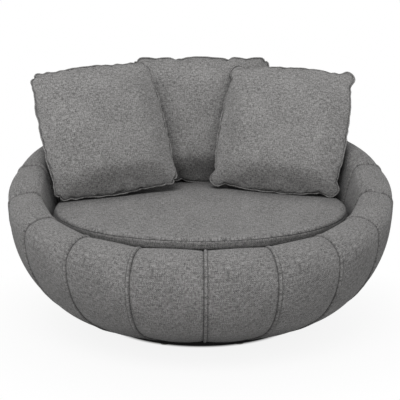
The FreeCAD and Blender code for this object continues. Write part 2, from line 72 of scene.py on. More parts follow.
def stretched_noise(finish, stretch, scale, detail=4.0, place=None):
    """Noise drawn out along the axes, as grain or a brushed surface is."""
    if place is None:
        place = add_node(finish, "TexCoord").outputs["Object"]
    mapping = add_node(finish, "Mapping", inputs={"Vector": place, "Scale": stretch})
    grain = add_node(finish, "TexNoise", inputs={"Vector": mapping.outputs["Vector"], "Scale": scale,
                                                 "Detail": detail})
    return grain.outputs["Fac"]


def two_tones(finish, factor, dark, light, low=0.35, high=0.65):
    """A blend from one colour to another as a factor goes from low to high."""
    ramp = add_node(finish, "ValToRGB", inputs={"Fac": factor})
    ramp.color_ramp.elements[0].position = low
    ramp.color_ramp.elements[0].color = dark
    ramp.color_ramp.elements[1].position = high
    ramp.color_ramp.elements[1].color = light
    return ramp.outputs["Color"]


def roughen(finish, shader, height, depth, strength=1.0):
    """Bump on a shader, with the depth in metres."""
    bump = add_node(finish, "Bump", inputs={"Height": height, "Distance": depth, "Strength": strength})
    finish.node_tree.links.new(bump.outputs["Normal"], shader.inputs["Normal"])


def vary_roughness(finish, shader, factor, low, high):
    spread = add_node(finish, "MapRange", inputs={"Value": factor, "To Min": low, "To Max": high})
    finish.node_tree.links.new(spread.outputs["Result"], shader.inputs["Roughness"])


def dress(finish, *names):
    """Gives CAD nodes that keep their shape a finish."""
    for name in names:
        solids[name].data.materials.clear()
        solids[name].data.materials.append(finish)


def lacquered_board():
    finish, shader = start_finish("black_lacquer", 0.42)
    grain = stretched_noise(finish, (3.0, 3.0, 40.0), 6.0, 6.0)
    colour = two_tones(finish, grain, lacquer_black, lacquer_worn, 0.45, 0.95)
    finish.node_tree.links.new(colour, shader.inputs["Base Color"])
    vary_roughness(finish, shader, grain, 0.36, 0.55)
    roughen(finish, shader, grain, 0.0004)
    return finish


def moulded_nylon():
    finish, shader = start_finish("moulded_nylon", 0.45)
    cloud = stretched_noise(finish, (1.0, 1.0, 1.0), 60.0)
    colour = two_tones(finish, cloud, nylon_shade, nylon_milk)
    finish.node_tree.links.new(colour, shader.inputs["Base Color"])
    roughen(finish, shader, cloud, 0.0002)
    return finish


def edge_band():
    finish, shader = start_finish("edge_band", 0.62)
    shader.inputs["Specular IOR Level"].default_value = 0.12
    cloud = stretched_noise(finish, (1.0, 1.0, 1.0), 34.0)
    colour = two_tones(finish, cloud, band_black, lacquer_black, 0.4, 1.0)
    finish.node_tree.links.new(colour, shader.inputs["Base Color"])
    vary_roughness(finish, shader, cloud, 0.55, 0.72)
    roughen(finish, shader, cloud, 0.0001)
    return finish


dress(lacquered_board(), "plinth_board")
dress(edge_band(), "plinth_edging")
nylon_finish = moulded_nylon()
dress(nylon_finish, "floor_glides")

# Swivel: two pressed plates with a ball race between them, in a nylon cage, screwed to the plinth and to
# the tub. A centre bolt with a washer and a lock nut keeps the tub from lifting off.
zinc_light = (0.56, 0.56, 0.54, 1.0)
zinc_dark = (0.38, 0.38, 0.37, 1.0)
screw_light = (0.52, 0.49, 0.42, 1.0)
screw_dark = (0.30, 0.28, 0.24, 1.0)
ball_light = (0.66, 0.66, 0.66, 1.0)
ball_dark = (0.50, 0.50, 0.50, 1.0)


def metal(name, dark, light, roughness, stretch, scale):
    finish, shader = start_finish(name, roughness, 1.0)
    scratches = stretched_noise(finish, stretch, scale, 6.0)
    colour = two_tones(finish, scratches, dark, light)
    finish.node_tree.links.new(colour, shader.inputs["Base Color"])
    vary_roughness(finish, shader, scratches, roughness * 0.7, roughness * 1.4)
    roughen(finish, shader, scratches, 0.00008)
    return finish


zinc_finish = metal("zinc_plate", zinc_dark, zinc_light, 0.38, (1.0, 14.0, 1.0), 30.0)
screw_finish = metal("plated_screw", screw_dark, screw_light, 0.34, (1.0, 1.0, 1.0), 260.0)
dress(zinc_finish, "swivel_lower_plate", "swivel_upper_plate")
dress(screw_finish, "glide_screws", "lower_plate_screws", "upper_plate_screws")
dress(screw_finish, "centre_bolt", "lock_nut")
dress(metal("bearing_steel", ball_dark, ball_light, 0.12, (1.0, 1.0, 1.0), 90.0), "bearing_balls")
dress(nylon_finish, "thrust_washer", "ball_cage")

# Tub frame: C-shaped ribs of birch plywood on a round board, tied by rails of the same, with a ring at
# seat height. The boards show their layers on the edges, and the ribs were sawn by machine and sanded.
birch_light = (0.66, 0.50, 0.33, 1.0)
birch_dark = (0.47, 0.33, 0.20, 1.0)
layer_thickness = 0.0015
wave_bands_per_metre = 3.2
layer_strength = 0.35


def plywood(name, layer_axis, grain_stretch):
    """Birch plywood; layer_axis is the axis that its layers are stacked along, or None."""
    finish, shader = start_finish(name, 0.62)
    place = add_node(finish, "TexCoord").outputs["Object"]
    grain = stretched_noise(finish, grain_stretch, 9.0, 8.0, place)
    colour = two_tones(finish, grain, birch_dark, birch_light, 0.3, 0.7)
    if layer_axis:
        wave_scale = 1.0 / layer_thickness / wave_bands_per_metre
        layers = add_node(finish, "TexWave", {"bands_direction": layer_axis},
                          {"Vector": place, "Scale": wave_scale, "Distortion": 0.4})
        edge = add_node(finish, "Mix", {"data_type": "RGBA", "blend_type": "MULTIPLY"})
        edge.inputs["Factor"].default_value = layer_strength
        finish.node_tree.links.new(colour, edge.inputs["A"])
        finish.node_tree.links.new(layers.outputs["Color"], edge.inputs["B"])
        colour = edge.outputs["Result"]
    finish.node_tree.links.new(colour, shader.inputs["Base Color"])
    vary_roughness(finish, shader, grain, 0.55, 0.75)
    roughen(finish, shader, grain, 0.0003)
    return finish


dress(plywood("birch_board", "Z", (1.0, 12.0, 1.0)), "tub_base_board", "deck_ring")
dress(plywood("birch_rib", None, (1.0, 1.0, 14.0)), "frame_ribs")
dress(plywood("birch_rail", "Z", (2.0, 2.0, 30.0)), "spacer_rails")

# Seat deck: elastic webbing woven over the ring and stapled, then a needled felt pad, and a black lining
# cloth over both. A thin black cloth is tacked under the tub to keep the dust out.
webbing_count = 7
webbing_width = 0.060
webbing_pitch = 0.128
webbing_thickness = 0.0022
webbing_middle = 0.3065
webbing_lift = 0.0013
webbing_thread = 0.0012
deck_radius = 0.524
felt_low = 0.3090
felt_high = 0.3168
felt_relief = 0.0004
felt_fibre = 0.0018
lining_height = 0.3177
lining_thickness = 0.0012
lining_thread = 0.0008
dust_height = 0.0275
dust_inner = 0.165
dust_outer = 0.236
dust_thickness = 0.0006
dust_thread = 0.0006
dust_tacks = 24
dust_pucker = 0.0005
webbing_black = (0.030, 0.030, 0.032, 1.0)
webbing_grey = (0.075, 0.074, 0.072, 1.0)
felt_dark = (0.26, 0.25, 0.23, 1.0)
felt_light = (0.42, 0.40, 0.37, 1.0)
lining_dark = (0.020, 0.020, 0.021, 1.0)
lining_light = (0.050, 0.050, 0.050, 1.0)


def plain_cloth(name, dark, light, thread, roughness=0.9, depth=0.0003):
    """A plain cloth or felt, with its threads on the piece's own place."""
    finish, shader = start_finish(name, roughness)
    fibres = stretched_noise(finish, (1.0, 1.0, 1.0), 1.0 / thread, 6.0)
    drift = stretched_noise(finish, (1.0, 1.0, 1.0), 9.0, 3.0)
    blend = add_node(finish, "Math", {"operation": "ADD"})
    finish.node_tree.links.new(fibres, blend.inputs[0])
    finish.node_tree.links.new(drift, blend.inputs[1])
    colour = two_tones(finish, blend.outputs["Value"], dark, light, 0.8, 1.2)
    finish.node_tree.links.new(colour, shader.inputs["Base Color"])
    shader.inputs["Sheen Weight"].default_value = 0.15
    roughen(finish, shader, fibres, depth)
    return finish


def link_piece(name, shape, finish, body, smooth=True):
    """Makes a mesh out of a bmesh, links it into the scene and lets it ride on a body."""
    mesh = bpy.data.meshes.new(name)
    shape.to_mesh(mesh)
    shape.free()
    for face in mesh.polygons:
        face.use_smooth = smooth
    piece = bpy.data.objects.new(name, mesh)
    bpy.context.scene.collection.objects.link(piece)
    mesh.materials.append(finish)
    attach(piece, body)
    return piece


def thicken(piece, thickness, offset=-1.0):
    """Gives a sheet its thickness, by default on its inner side."""
    wall = piece.modifiers.new("thickness", "SOLIDIFY")
    wall.thickness = thickness
    wall.offset = offset
    wall.use_even_offset = False
    return piece


def add_disc(shape, radius, height, hole=0.0, rings=24, segments=96):
    """A flat round sheet, turned from one radius into rings of faces, seen from above."""
    start = [shape.verts.new((hole + (radius - hole) * ring / rings, 0.0, height))
             for ring in range(rings + 1)]
    line = [shape.edges.new((start[ring], start[ring + 1])) for ring in range(rings)]
    bmesh.ops.spin(shape, geom=start + line, cent=(0, 0, 0), axis=(0, 0, 1), angle=math.tau,
                   steps=segments, use_merge=True)
    bmesh.ops.remove_doubles(shape, verts=shape.verts, dist=1e-6)
    bmesh.ops.recalc_face_normals(shape, faces=shape.faces)
    shape.normal_update()
    if sum(face.normal.z for face in shape.faces) < 0:
        bmesh.ops.reverse_faces(shape, faces=shape.faces)


def webbing_straps():
    shape = bmesh.new()
    steps = 96
    for turned in (False, True):
        for index in range(webbing_count):
            offset = (index - (webbing_count - 1) / 2.0) * webbing_pitch
            reach = math.sqrt(deck_radius ** 2 - (abs(offset) + webbing_width / 2.0) ** 2)
            made = bmesh.ops.create_grid(shape, x_segments=3, y_segments=steps, size=0.5)
            for vert in made["verts"]:
                along = vert.co.y * 2.0 * reach
                side = 1.0 if (index + int(turned)) % 2 else -1.0
                wave = side * math.cos(math.pi * along / webbing_pitch)
                across = offset + vert.co.x * webbing_width
                vert.co = (along, across, 0.0) if turned else (across, along, 0.0)
                vert.co.z = webbing_middle + wave * webbing_lift
    return shape


webbing_finish = plain_cloth("elastic_webbing", webbing_black, webbing_grey, webbing_thread)
webbing = link_piece("deck_straps", webbing_straps(), webbing_finish, "tub")
thicken(webbing, webbing_thickness, 0.0)
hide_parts("deck_webbing")


def felt_disc():
    shape = bmesh.new()
    add_disc(shape, deck_radius, felt_high)
    for vert in shape.verts:
        vert.co.z += felt_relief * (noise.noise(vert.co * 14.0) - 1.0)
    return shape


felt_finish = plain_cloth("needled_felt", felt_dark, felt_light, felt_fibre)
felt = link_piece("deck_felt", felt_disc(), felt_finish, "tub")
thicken(felt, felt_high - felt_low)
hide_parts("deck_pad")


def lining_disc():
    shape = bmesh.new()
    add_disc(shape, deck_radius, lining_height)
    for vert in shape.verts:
        pull = noise.noise(Vector((vert.co.x * 5.0, vert.co.y * 30.0, 0.3)))
        vert.co.z += 0.0006 * pull + 0.0004
    return shape


lining_finish = plain_cloth("black_lining", lining_dark, lining_light, lining_thread)
lining = link_piece("deck_lining", lining_disc(), lining_finish, "tub")
thicken(lining, lining_thickness)
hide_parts("deck_cloth")


def dust_ring():
    shape = bmesh.new()
    add_disc(shape, dust_outer, dust_height, dust_inner, 8, 144)
    for vert in shape.verts:
        angle = math.atan2(vert.co.y, vert.co.x)
        vert.co.z += dust_pucker * math.sin(angle * dust_tacks) * noise.noise(vert.co * 30.0)
    return shape


dust_finish = plain_cloth("dust_cloth", lining_dark, lining_light, dust_thread)
dust_cloth = link_piece("dust_cloth", dust_ring(), dust_finish, "tub")
thicken(dust_cloth, dust_thickness, 0.0)
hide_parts("dust_cover")

# Tub cover: eighteen gores of grey chenille sewn edge to edge into one padded bowl, drawn over the foam
# and tacked under the tub. Each seam is pressed to one side and topstitched, which leaves a band.
gore_count = 18
gore_pitch = math.tau / gore_count
belly_radius = 0.674
belly_front = 0.270
belly_back = 0.649
belly_rise_power = 0.9
crest_radius_front = 0.585
crest_radius_back = 0.620
crest_front = 0.3895
crest_back = 0.715
crest_rise_power = 1.41
tail_radius = 0.200
underside_radius = 0.330
underside_height = 0.028
underside_slope_front = math.radians(1.5)
underside_slope_least = math.radians(6.5)
front_lift_slope = math.radians(4.5)
underside_slope_back = math.radians(18.0)
well_radius = 0.530
well_top_offset = 0.001
well_top_flare = 0.035
well_foot_height = 0.305
roll_drop_front = 0.067
roll_drop_back = 0.097
gore_puff = 0.005
cover_thickness = 0.002
arc_rows = (4, 24, 24, 12, 12, 12, 12, 16)
underside_fade_rows = 14.0
seam_distances = (0.0, 0.0007, 0.0016, 0.0030, 0.0050, 0.0070, 0.0084,
                  0.0094, 0.0102, 0.0112, 0.0130, 0.0170, 0.0240)
band_lifts = (-0.0070, -0.0036, 0.0006, 0.0034, 0.0044, 0.0041, 0.0024,
              -0.0018, -0.0024, -0.0008, 0.0002, 0.0002, 0.0)
plain_lifts = (-0.0062, -0.0044, -0.0028, -0.0016, -0.0008, -0.0004, -0.0002,
               0.0, 0.0, 0.0, 0.0, 0.0, 0.0)
middle_columns = 9
cloth_wave = 0.0011
pucker_reach = 0.025
yarn_pitch = 0.0032
slub_share = 0.17
drift_share = 0.10
pile_depth = 0.0006
chenille_dark = (0.090, 0.088, 0.087, 1.0)
chenille_light = (0.345, 0.339, 0.334, 1.0)
# Grey that the chenille's colour is multiplied towards in seams and creases: painted shade.
painted_crease_shade_grey = (0.25, 0.25, 0.25, 1.0)
crease_shade_reach = 0.15


def heading(angle):
    return Vector((math.cos(angle), math.sin(angle)))


def tangent_arcs(start, start_heading, end, end_heading):
    """Two arcs that leave start and reach end on the given headings, each as (start, corner, end)."""
    leave = heading(start_heading)
    arrive = heading(end_heading)
    span = end - start
    along = span.dot(leave + arrive)
    spread = 2.0 * (1.0 - leave.dot(arrive))
    reach = (math.sqrt(along * along + spread * span.dot(span)) - along) / spread
    first_corner = start + leave * reach
    second_corner = end - arrive * reach
    joint = (first_corner + second_corner) * 0.5
    return [(start, first_corner, joint), (joint, second_corner, end)]


def tub_arcs(azimuth):
    """The tub's section at an azimuth that counts from the front, from under the tub into the well."""
    back = (1.0 - math.cos(azimuth)) / 2.0
    belly = Vector((belly_radius, belly_front + (belly_back - belly_front) * back ** belly_rise_power))
    crest = Vector((crest_radius_front + (crest_radius_back - crest_radius_front) * back,
                    crest_front + (crest_back - crest_front) * back ** crest_rise_power))
    tail = Vector((tail_radius, underside_height))
    underside = Vector((underside_radius, underside_height))
    drop = roll_drop_front + (roll_drop_back - roll_drop_front) * back
    well_top = Vector((well_radius + well_top_offset + well_top_flare * back, crest.y - drop))
    well_foot = Vector((well_radius, well_foot_height))
    wall = well_foot - well_top
    slant = math.atan2(wall.x, -wall.y)
    reach = wall.length / 2.0 / math.cos(slant)
    arcs = [(tail, (tail + underside) / 2.0, underside)]
    slope = underside_slope_front + (underside_slope_back - underside_slope_front) * math.sqrt(back)
    front = max(math.cos(azimuth), 0.0) ** 6
    slope = max(slope, underside_slope_least + front_lift_slope * front)
    arcs += tangent_arcs(underside, slope, belly, math.pi / 2.0)
    arcs += tangent_arcs(belly, math.pi / 2.0, crest, math.pi)
    arcs += tangent_arcs(crest, math.pi, well_top, math.pi * 1.5 + 2.0 * slant)
    arcs.append((well_top, well_foot + Vector((0.0, reach)), well_foot))
    return arcs


def along_arc(arc, share):
    start, corner, end = arc
    weight = (end - start).length / 2.0 / (corner - start).length
    sides = (1.0 - share) ** 2, 2.0 * weight * share * (1.0 - share), share ** 2
    return (start * sides[0] + corner * sides[1] + end * sides[2]) / sum(sides)


def tub_point(azimuth, row, lift):
    """A point of the cover at an azimuth, a row of its section and a height over the seam line."""
    arcs = tub_arcs(azimuth)
    index = 0
    while index < len(arc_rows) - 1 and row >= arc_rows[index]:
        row -= arc_rows[index]
        index += 1
    share = row / arc_rows[index]
    point = along_arc(arcs[index], share)
    ahead = along_arc(arcs[index], min(share + 0.01, 1.0))
    step = (ahead - along_arc(arcs[index], max(share - 0.01, 0.0))).normalized()
    point += Vector((step.y, -step.x)) * lift
    return Vector((point.x * math.sin(azimuth), -point.x * math.cos(azimuth), point.y))


row_count = sum(arc_rows)
column_count = 2 * len(seam_distances) + middle_columns - 1


def gore_column(index, column, radius):
    """The azimuth of a column of a gore, and how far the cloth stands there over the seam line."""
    near, far = index * gore_pitch, (index + 1) * gore_pitch
    half = radius * gore_pitch / 2.0
    last = len(seam_distances) - 1
    band_near = index <= gore_count / 2
    band_far = gore_count / 2 <= index < gore_count - 1
    if column <= last:
        distance = min(seam_distances[column], half)
        seam_lift = (band_lifts if band_near else plain_lifts)[column]
        azimuth = near + distance / radius
    elif column >= column_count - last:
        step = column_count - column
        distance = min(seam_distances[step], half)
        seam_lift = (band_lifts if band_far else plain_lifts)[step]
        azimuth = far - distance / radius
    else:
        share = (column - last) / (column_count - 2 * last)
        inset = min(seam_distances[last], half) / radius
        azimuth = near + inset + (gore_pitch - 2.0 * inset) * share
        seam_lift = 0.0
    across = (azimuth - near) / gore_pitch * 2.0 - 1.0
    return azimuth, seam_lift + gore_puff * (1.0 - across ** 2)


def cloth_unevenness(place, seam_near):
    """How far stuffing and seams push the cloth about: broad and shallow, with puckers beside a seam."""
    broad = noise.noise(place * 7.0) * cloth_wave
    pucker = noise.noise(place * 38.0) * cloth_wave * seam_near
    return broad + pucker


def make_gore(index):
    shape = bmesh.new()
    bmesh.ops.create_grid(shape, x_segments=column_count, y_segments=row_count, size=1.0)
    flat = {}
    middle = (index + 0.5) * gore_pitch
    lengths = [0.0]
    for row in range(row_count):
        step = tub_point(middle, row + 1, 0.0) - tub_point(middle, row, 0.0)
        lengths.append(lengths[-1] + step.length)
    for vert in shape.verts:
        column = round((vert.co.x + 1.0) / 2.0 * column_count)
        row = round((vert.co.y + 1.0) / 2.0 * row_count)
        radius = tub_point(middle, row, 0.0).to_2d().length
        azimuth, lift = gore_column(index, column, radius)
        edge = min(azimuth - index * gore_pitch, (index + 1) * gore_pitch - azimuth) * radius
        seam_near = math.exp(-edge / pucker_reach) if edge > 1e-5 else 0.0
        spot = tub_point(azimuth, row, 0.0)
        if edge > 1e-5:
            lift += cloth_unevenness(spot, seam_near)
        lift *= min(row / underside_fade_rows, 1.0)
        vert.co = tub_point(azimuth, row, lift)
        flat[vert] = ((azimuth - middle) * radius, lengths[row])
    weave = shape.loops.layers.uv.new("weave")
    for face in shape.faces:
        for loop in face.loops:
            loop[weave].uv = flat[loop.vert]
    shape.normal_update()
    outward = Vector((math.sin(middle), -math.cos(middle), 0.0))
    belly_faces = [face for face in shape.faces if face.normal.dot(outward) > 0.8]
    inner_faces = [face for face in shape.faces if face.normal.dot(outward) < -0.8]
    if len(inner_faces) > len(belly_faces):
        bmesh.ops.reverse_faces(shape, faces=shape.faces)
    return shape


def mixed(finish, factor, first, second):
    """A blend of two grey values."""
    mix = add_node(finish, "Mix", {"data_type": "FLOAT"}, {"Factor": factor})
    finish.node_tree.links.new(first, mix.inputs["A"])
    finish.node_tree.links.new(second, mix.inputs["B"])
    return mix.outputs["Result"]


def chenille(name, dark, light):
    """Heathered grey chenille: flecked yarns, 3 mm wide, that cross over and under each other. Its
    colour is painted darker in seams and in folded and creased places, where nearby surfaces close it
    in: painted shade."""
    finish, shader = start_finish(name, 0.92)
    cloth = add_node(finish, "UVMap", {"uv_map": "weave"}).outputs["UV"]
    links = finish.node_tree.links
    split = add_node(finish, "SeparateXYZ", inputs={"Vector": cloth})
    ribs = []
    for axis in ("X", "Y"):
        wave = add_node(finish, "Math", {"operation": "MULTIPLY"})
        links.new(split.outputs[axis], wave.inputs[0])
        wave.inputs[1].default_value = math.pi / yarn_pitch
        sine = add_node(finish, "Math", {"operation": "SINE"})
        links.new(wave.outputs["Value"], sine.inputs[0])
        ribs.append(sine.outputs["Value"])
    checker = add_node(finish, "Math", {"operation": "MULTIPLY"})
    links.new(ribs[0], checker.inputs[0])
    links.new(ribs[1], checker.inputs[1])
    over = add_node(finish, "MapRange", inputs={"Value": checker.outputs["Value"], "From Min": -0.25,
                                                "From Max": 0.25})
    weft = stretched_noise(finish, (85.0, 290.0, 1.0), 1.0, 3.0, cloth)
    warp = stretched_noise(finish, (290.0, 85.0, 1.0), 1.0, 3.0, cloth)
    slub = stretched_noise(finish, (34.0, 120.0, 1.0), 1.0, 2.0, cloth)
    drift = stretched_noise(finish, (9.0, 9.0, 1.0), 1.0, 2.0, cloth)
    heather = mixed(finish, over.outputs["Result"], weft, warp)
    heather = mixed(finish, slub_share, heather, slub)
    heather = mixed(finish, drift_share, heather, drift)
    colour = two_tones(finish, heather, dark, light, 0.38, 0.62)
    # Painted shade: the colour is darkened where ambient occlusion finds seams and creases closed in by
    # nearby surfaces.
    crease_occlusion = add_node(finish, "AmbientOcclusion", {"samples": 8}, {"Distance": crease_shade_reach})
    painted_shade_amount = add_node(finish, "MapRange", inputs={"Value": crease_occlusion.outputs["AO"], "From Min": 0.20,
                                                   "From Max": 0.95, "To Min": 1.0, "To Max": 0.0})
    crease_shaded = add_node(finish, "Mix", {"data_type": "RGBA", "blend_type": "MULTIPLY"},
                      {"Factor": painted_shade_amount.outputs["Result"]})
    links.new(colour, crease_shaded.inputs["A"])
    crease_shaded.inputs["B"].default_value = painted_crease_shade_grey
    links.new(crease_shaded.outputs["Result"], shader.inputs["Base Color"])
    shader.inputs["Sheen Weight"].default_value = 0.12
    shader.inputs["Sheen Roughness"].default_value = 0.45
    shader.inputs["Specular IOR Level"].default_value = 0.2
    fuzz = add_node(finish, "Math", {"operation": "MULTIPLY_ADD"})
    links.new(heather, fuzz.inputs[0])
    fuzz.inputs[1].default_value = 3.0
    links.new(checker.outputs["Value"], fuzz.inputs[2])
    roughen(finish, shader, fuzz.outputs["Value"], pile_depth)
    return finish


chenille_finish = chenille("grey_chenille", chenille_dark, chenille_light)
for index in range(gore_count):
    gore = link_piece("tub_gore_%02d" % (index + 1), make_gore(index), chenille_finish, "tub")
    thicken(gore, cover_thickness)
    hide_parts("cover_panel_%02d" % (index + 1))

# Tub padding: slabs of foam glued over the ribs under each gore, with the edges chamfered at the seams.
foam_inset = 0.0028
foam_thickness = 0.025
foam_light = (0.80, 0.74, 0.56, 1.0)
foam_dark = (0.68, 0.61, 0.43, 1.0)
foam_edge_gap = 0.0006
foam_chamfer = 0.0030


def foam_slabs():
    shape = bmesh.new()
    columns, rows = 8, row_count // 2
    for index in range(gore_count):
        made = bmesh.ops.create_grid(shape, x_segments=columns, y_segments=rows, size=1.0)
        first_row = arc_rows[0]
        for vert in made["verts"]:
            across = vert.co.x
            row = first_row + (row_count - first_row) * (vert.co.y + 1.0) / 2.0
            middle = (index + 0.5) * gore_pitch
            radius = tub_point(middle, row, 0.0).to_2d().length
            azimuth = middle + across * (gore_pitch / 2.0 - foam_edge_gap / radius)
            lift = gore_puff * (1.0 - across ** 2) - foam_inset - foam_chamfer * across ** 8
            vert.co = tub_point(azimuth, row, lift)
    shape.normal_update()
    return shape


def foam(name):
    finish, shader = start_finish(name, 0.95)
    cells = add_node(finish, "TexVoronoi", inputs={"Scale": 420.0})
    place = add_node(finish, "TexCoord").outputs["Object"]
    finish.node_tree.links.new(place, cells.inputs["Vector"])
    drift = stretched_noise(finish, (1.0, 1.0, 1.0), 12.0, 4.0, place)
    colour = two_tones(finish, drift, foam_dark, foam_light)
    finish.node_tree.links.new(colour, shader.inputs["Base Color"])
    roughen(finish, shader, cells.outputs["Distance"], 0.0006)
    return finish


foam_finish = foam("upholstery_foam")
padding_shape = foam_slabs()
sample = max(padding_shape.faces, key=lambda face: face.calc_center_median().to_2d().length)
if sample.normal.dot(sample.calc_center_median()) < 0:
    bmesh.ops.reverse_faces(padding_shape, faces=padding_shape.faces)
padding = link_piece("tub_padding", padding_shape, foam_finish, "tub")
thicken(padding, foam_thickness)
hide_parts("tub_foam")

# Seat cushion: a round box cushion. Two crowned panels are sewn to a boxing strip over a foam core, and
# a zip at the back closes the strip. It lies loose on the deck, well filled and a little dented by use.
seat_radius = 0.520
seat_weave_draw = 0.45
seat_low = 0.3190
seat_bottom_edge = 0.3300
seat_top_edge = 0.4090
seat_crown = 0.4270
seat_shoulder = 0.026
seat_shoulder_drop = 0.0081
boxing_bulge = 0.0050
front_reach = 0.022
front_rise = 0.0055
lip_low = 0.358
lip_high = 0.386
seat_cloth = 0.0016
seat_segments = 240
seam_dip = 0.0030
seam_dip_width = 0.0035
seam_line = 0.0004
panel_rounding = 2.6
core_inset = 0.0030
core_ease = 0.0015


def seat_top_height(radius):
    """Height of the top panel: a shallow dome to the shoulder, then a rounded fall to the seam."""
    shoulder = seat_radius - seat_shoulder
    if radius < shoulder:
        return seat_crown - seat_shoulder_drop * (radius / shoulder) ** 2
    share = (radius - shoulder) / seat_shoulder
    fall = seat_crown - seat_shoulder_drop - seat_top_edge
    start_slope = 2.0 * seat_shoulder_drop / shoulder * seat_shoulder
    return seat_crown - seat_shoulder_drop - start_slope * share - (fall - start_slope) * (
        1.0 - math.sqrt(max(1.0 - share ** panel_rounding, 0.0)))


def press_forward(place):
    """Where a point of the cushion lies once its front has been pushed up over the rim of the tub."""
    radius = place.to_2d().length
    if radius < 1e-6:
        return place
    facing = max(-place.y / radius, 0.0) ** 3
    lip = min(max((place.z - lip_low) / (lip_high - lip_low), 0.0), 1.0)
    lip = lip * lip * (3.0 - 2.0 * lip) * facing * (radius / seat_radius) ** 4
    outward = Vector((place.x, place.y, 0.0)) / radius
    return place + outward * front_reach * lip + Vector((0.0, 0.0, front_rise * lip))


def round_sheet(radii, height_at, relief):
    """A turned sheet of cloth with its weave laid flat on it; relief adds to the height at a place."""
    shape = bmesh.new()
    start = [shape.verts.new((radius, 0.0, height_at(radius))) for radius in radii]
    line = [shape.edges.new(pair) for pair in zip(start, start[1:])]
    bmesh.ops.spin(shape, geom=start + line, cent=(0, 0, 0), axis=(0, 0, 1), angle=math.tau,
                   steps=seat_segments, use_merge=True)
    bmesh.ops.remove_doubles(shape, verts=shape.verts, dist=1e-6)
    for vert in shape.verts:
        vert.co.z += relief(vert.co)
        vert.co = press_forward(vert.co)
    weave = shape.loops.layers.uv.new("weave")
    for face in shape.faces:
        for loop in face.loops:
            loop[weave].uv = (loop.vert.co.x, loop.vert.co.y * seat_weave_draw)
    shape.normal_update()
    return shape


def seat_radii(edge):
    """Radii of the rings of a round panel, close together towards its seam."""
    inner = [edge * step / 40.0 for step in range(37)]
    rim = edge - inner[-1]
    return inner + [inner[-1] + rim * (1.0 - (1.0 - step / 16.0) ** 1.6) for step in range(1, 17)]


def top_relief(place):
    edge = seat_radius - place.to_2d().length
    angle = math.atan2(place.y, place.x)
    dents = noise.noise(Vector((place.x * 3.1, place.y * 3.1, 4.0))) * 0.0022
    dents += noise.noise(Vector((place.x * 9.0, place.y * 9.0, 7.0))) * 0.0010
    gathers = noise.noise(Vector((angle * 17.0, edge * 14.0, 2.0))) * 0.0012 * math.exp(-edge / 0.03)
    fade = min(edge / 0.004, 1.0)
    dip = seam_dip * math.exp(-(edge / seam_dip_width) ** 2)
    return (dents + gathers) * fade - dip


def face_up(shape, up):
    if sum(face.normal.z for face in shape.faces) * up < 0:
        bmesh.ops.reverse_faces(shape, faces=shape.faces)
    return shape


panel_radii = seat_radii(seat_radius - seam_line)
seat_top_shape = face_up(round_sheet(panel_radii, seat_top_height, top_relief), 1)
seat_top = link_piece("seat_top_panel", seat_top_shape, chenille_finish, "seat_cushion")


def seat_bottom_height(radius):
    share = max(radius - (seat_radius - seat_shoulder), 0.0) / seat_shoulder
    rounding = 1.0 - math.sqrt(max(1.0 - share ** panel_rounding, 0.0))
    return seat_low + (seat_bottom_edge - seat_low) * rounding


def bottom_relief(place):
    edge = seat_radius - place.to_2d().length
    return seam_dip * math.exp(-(edge / seam_dip_width) ** 2)


seat_bottom_shape = face_up(round_sheet(panel_radii, seat_bottom_height, bottom_relief), -1)
seat_bottom = link_piece("seat_bottom_panel", seat_bottom_shape, chenille_finish, "seat_cushion")


def boxing_strip():
    """The strip round the side, drawn in at its two seams and bulging between them."""
    shape = bmesh.new()
    rows = 28
    start = []
    for row in range(rows + 1):
        share = row / rows
        near = min(share, 1.0 - share) * (seat_top_edge - seat_bottom_edge)
        out = boxing_bulge * (1.0 - (2.0 * share - 1.0) ** 2)
        out -= seam_dip * math.exp(-(near / seam_dip_width) ** 2)
        height = seat_bottom_edge + (seat_top_edge - seat_bottom_edge) * share
        start.append(shape.verts.new((0.0, -(seat_radius + out), height)))
    line = [shape.edges.new(pair) for pair in zip(start, start[1:])]
    bmesh.ops.spin(shape, geom=start + line, cent=(0, 0, 0), axis=(0, 0, 1), angle=math.tau,
                   steps=seat_segments, use_merge=True)
    bmesh.ops.remove_doubles(shape, verts=shape.verts, dist=1e-6)
    flat = {}
    for vert in shape.verts:
        angle = math.atan2(vert.co.x, -vert.co.y)
        near = min(vert.co.z - seat_bottom_edge, seat_top_edge - vert.co.z)
        gather = noise.noise(Vector((math.cos(angle) * 9.0, math.sin(angle) * 9.0, near * 20.0)))
        if near > 0.003:
            vert.co += Vector((vert.co.x, vert.co.y, 0.0)).normalized() * gather * 0.0007
        flat[vert] = (angle * seat_radius, vert.co.z)
        vert.co = press_forward(vert.co)
    weave = shape.loops.layers.uv.new("weave")
    for face in shape.faces:
        lengths = [flat[vert][0] for vert in face.verts]
        wraps = max(lengths) - min(lengths) > math.pi * seat_radius
        for loop in face.loops:
            across, up = flat[loop.vert]
            if wraps and across < 0:
                across += math.tau * seat_radius
            loop[weave].uv = (across, up)
    shape.normal_update()
    sample = max(shape.faces, key=lambda face: face.calc_center_median().y)
    if sample.normal.y < 0:
        bmesh.ops.reverse_faces(shape, faces=shape.faces)
    return shape


seat_boxing = link_piece("seat_boxing_strip", boxing_strip(), chenille_finish, "seat_cushion")
for piece, node in ((seat_top, "seat_cushion_top"), (seat_bottom, "seat_cushion_bottom"),
                    (seat_boxing, "seat_cushion_boxing")):
    thicken(piece, seat_cloth)
    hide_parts(node)


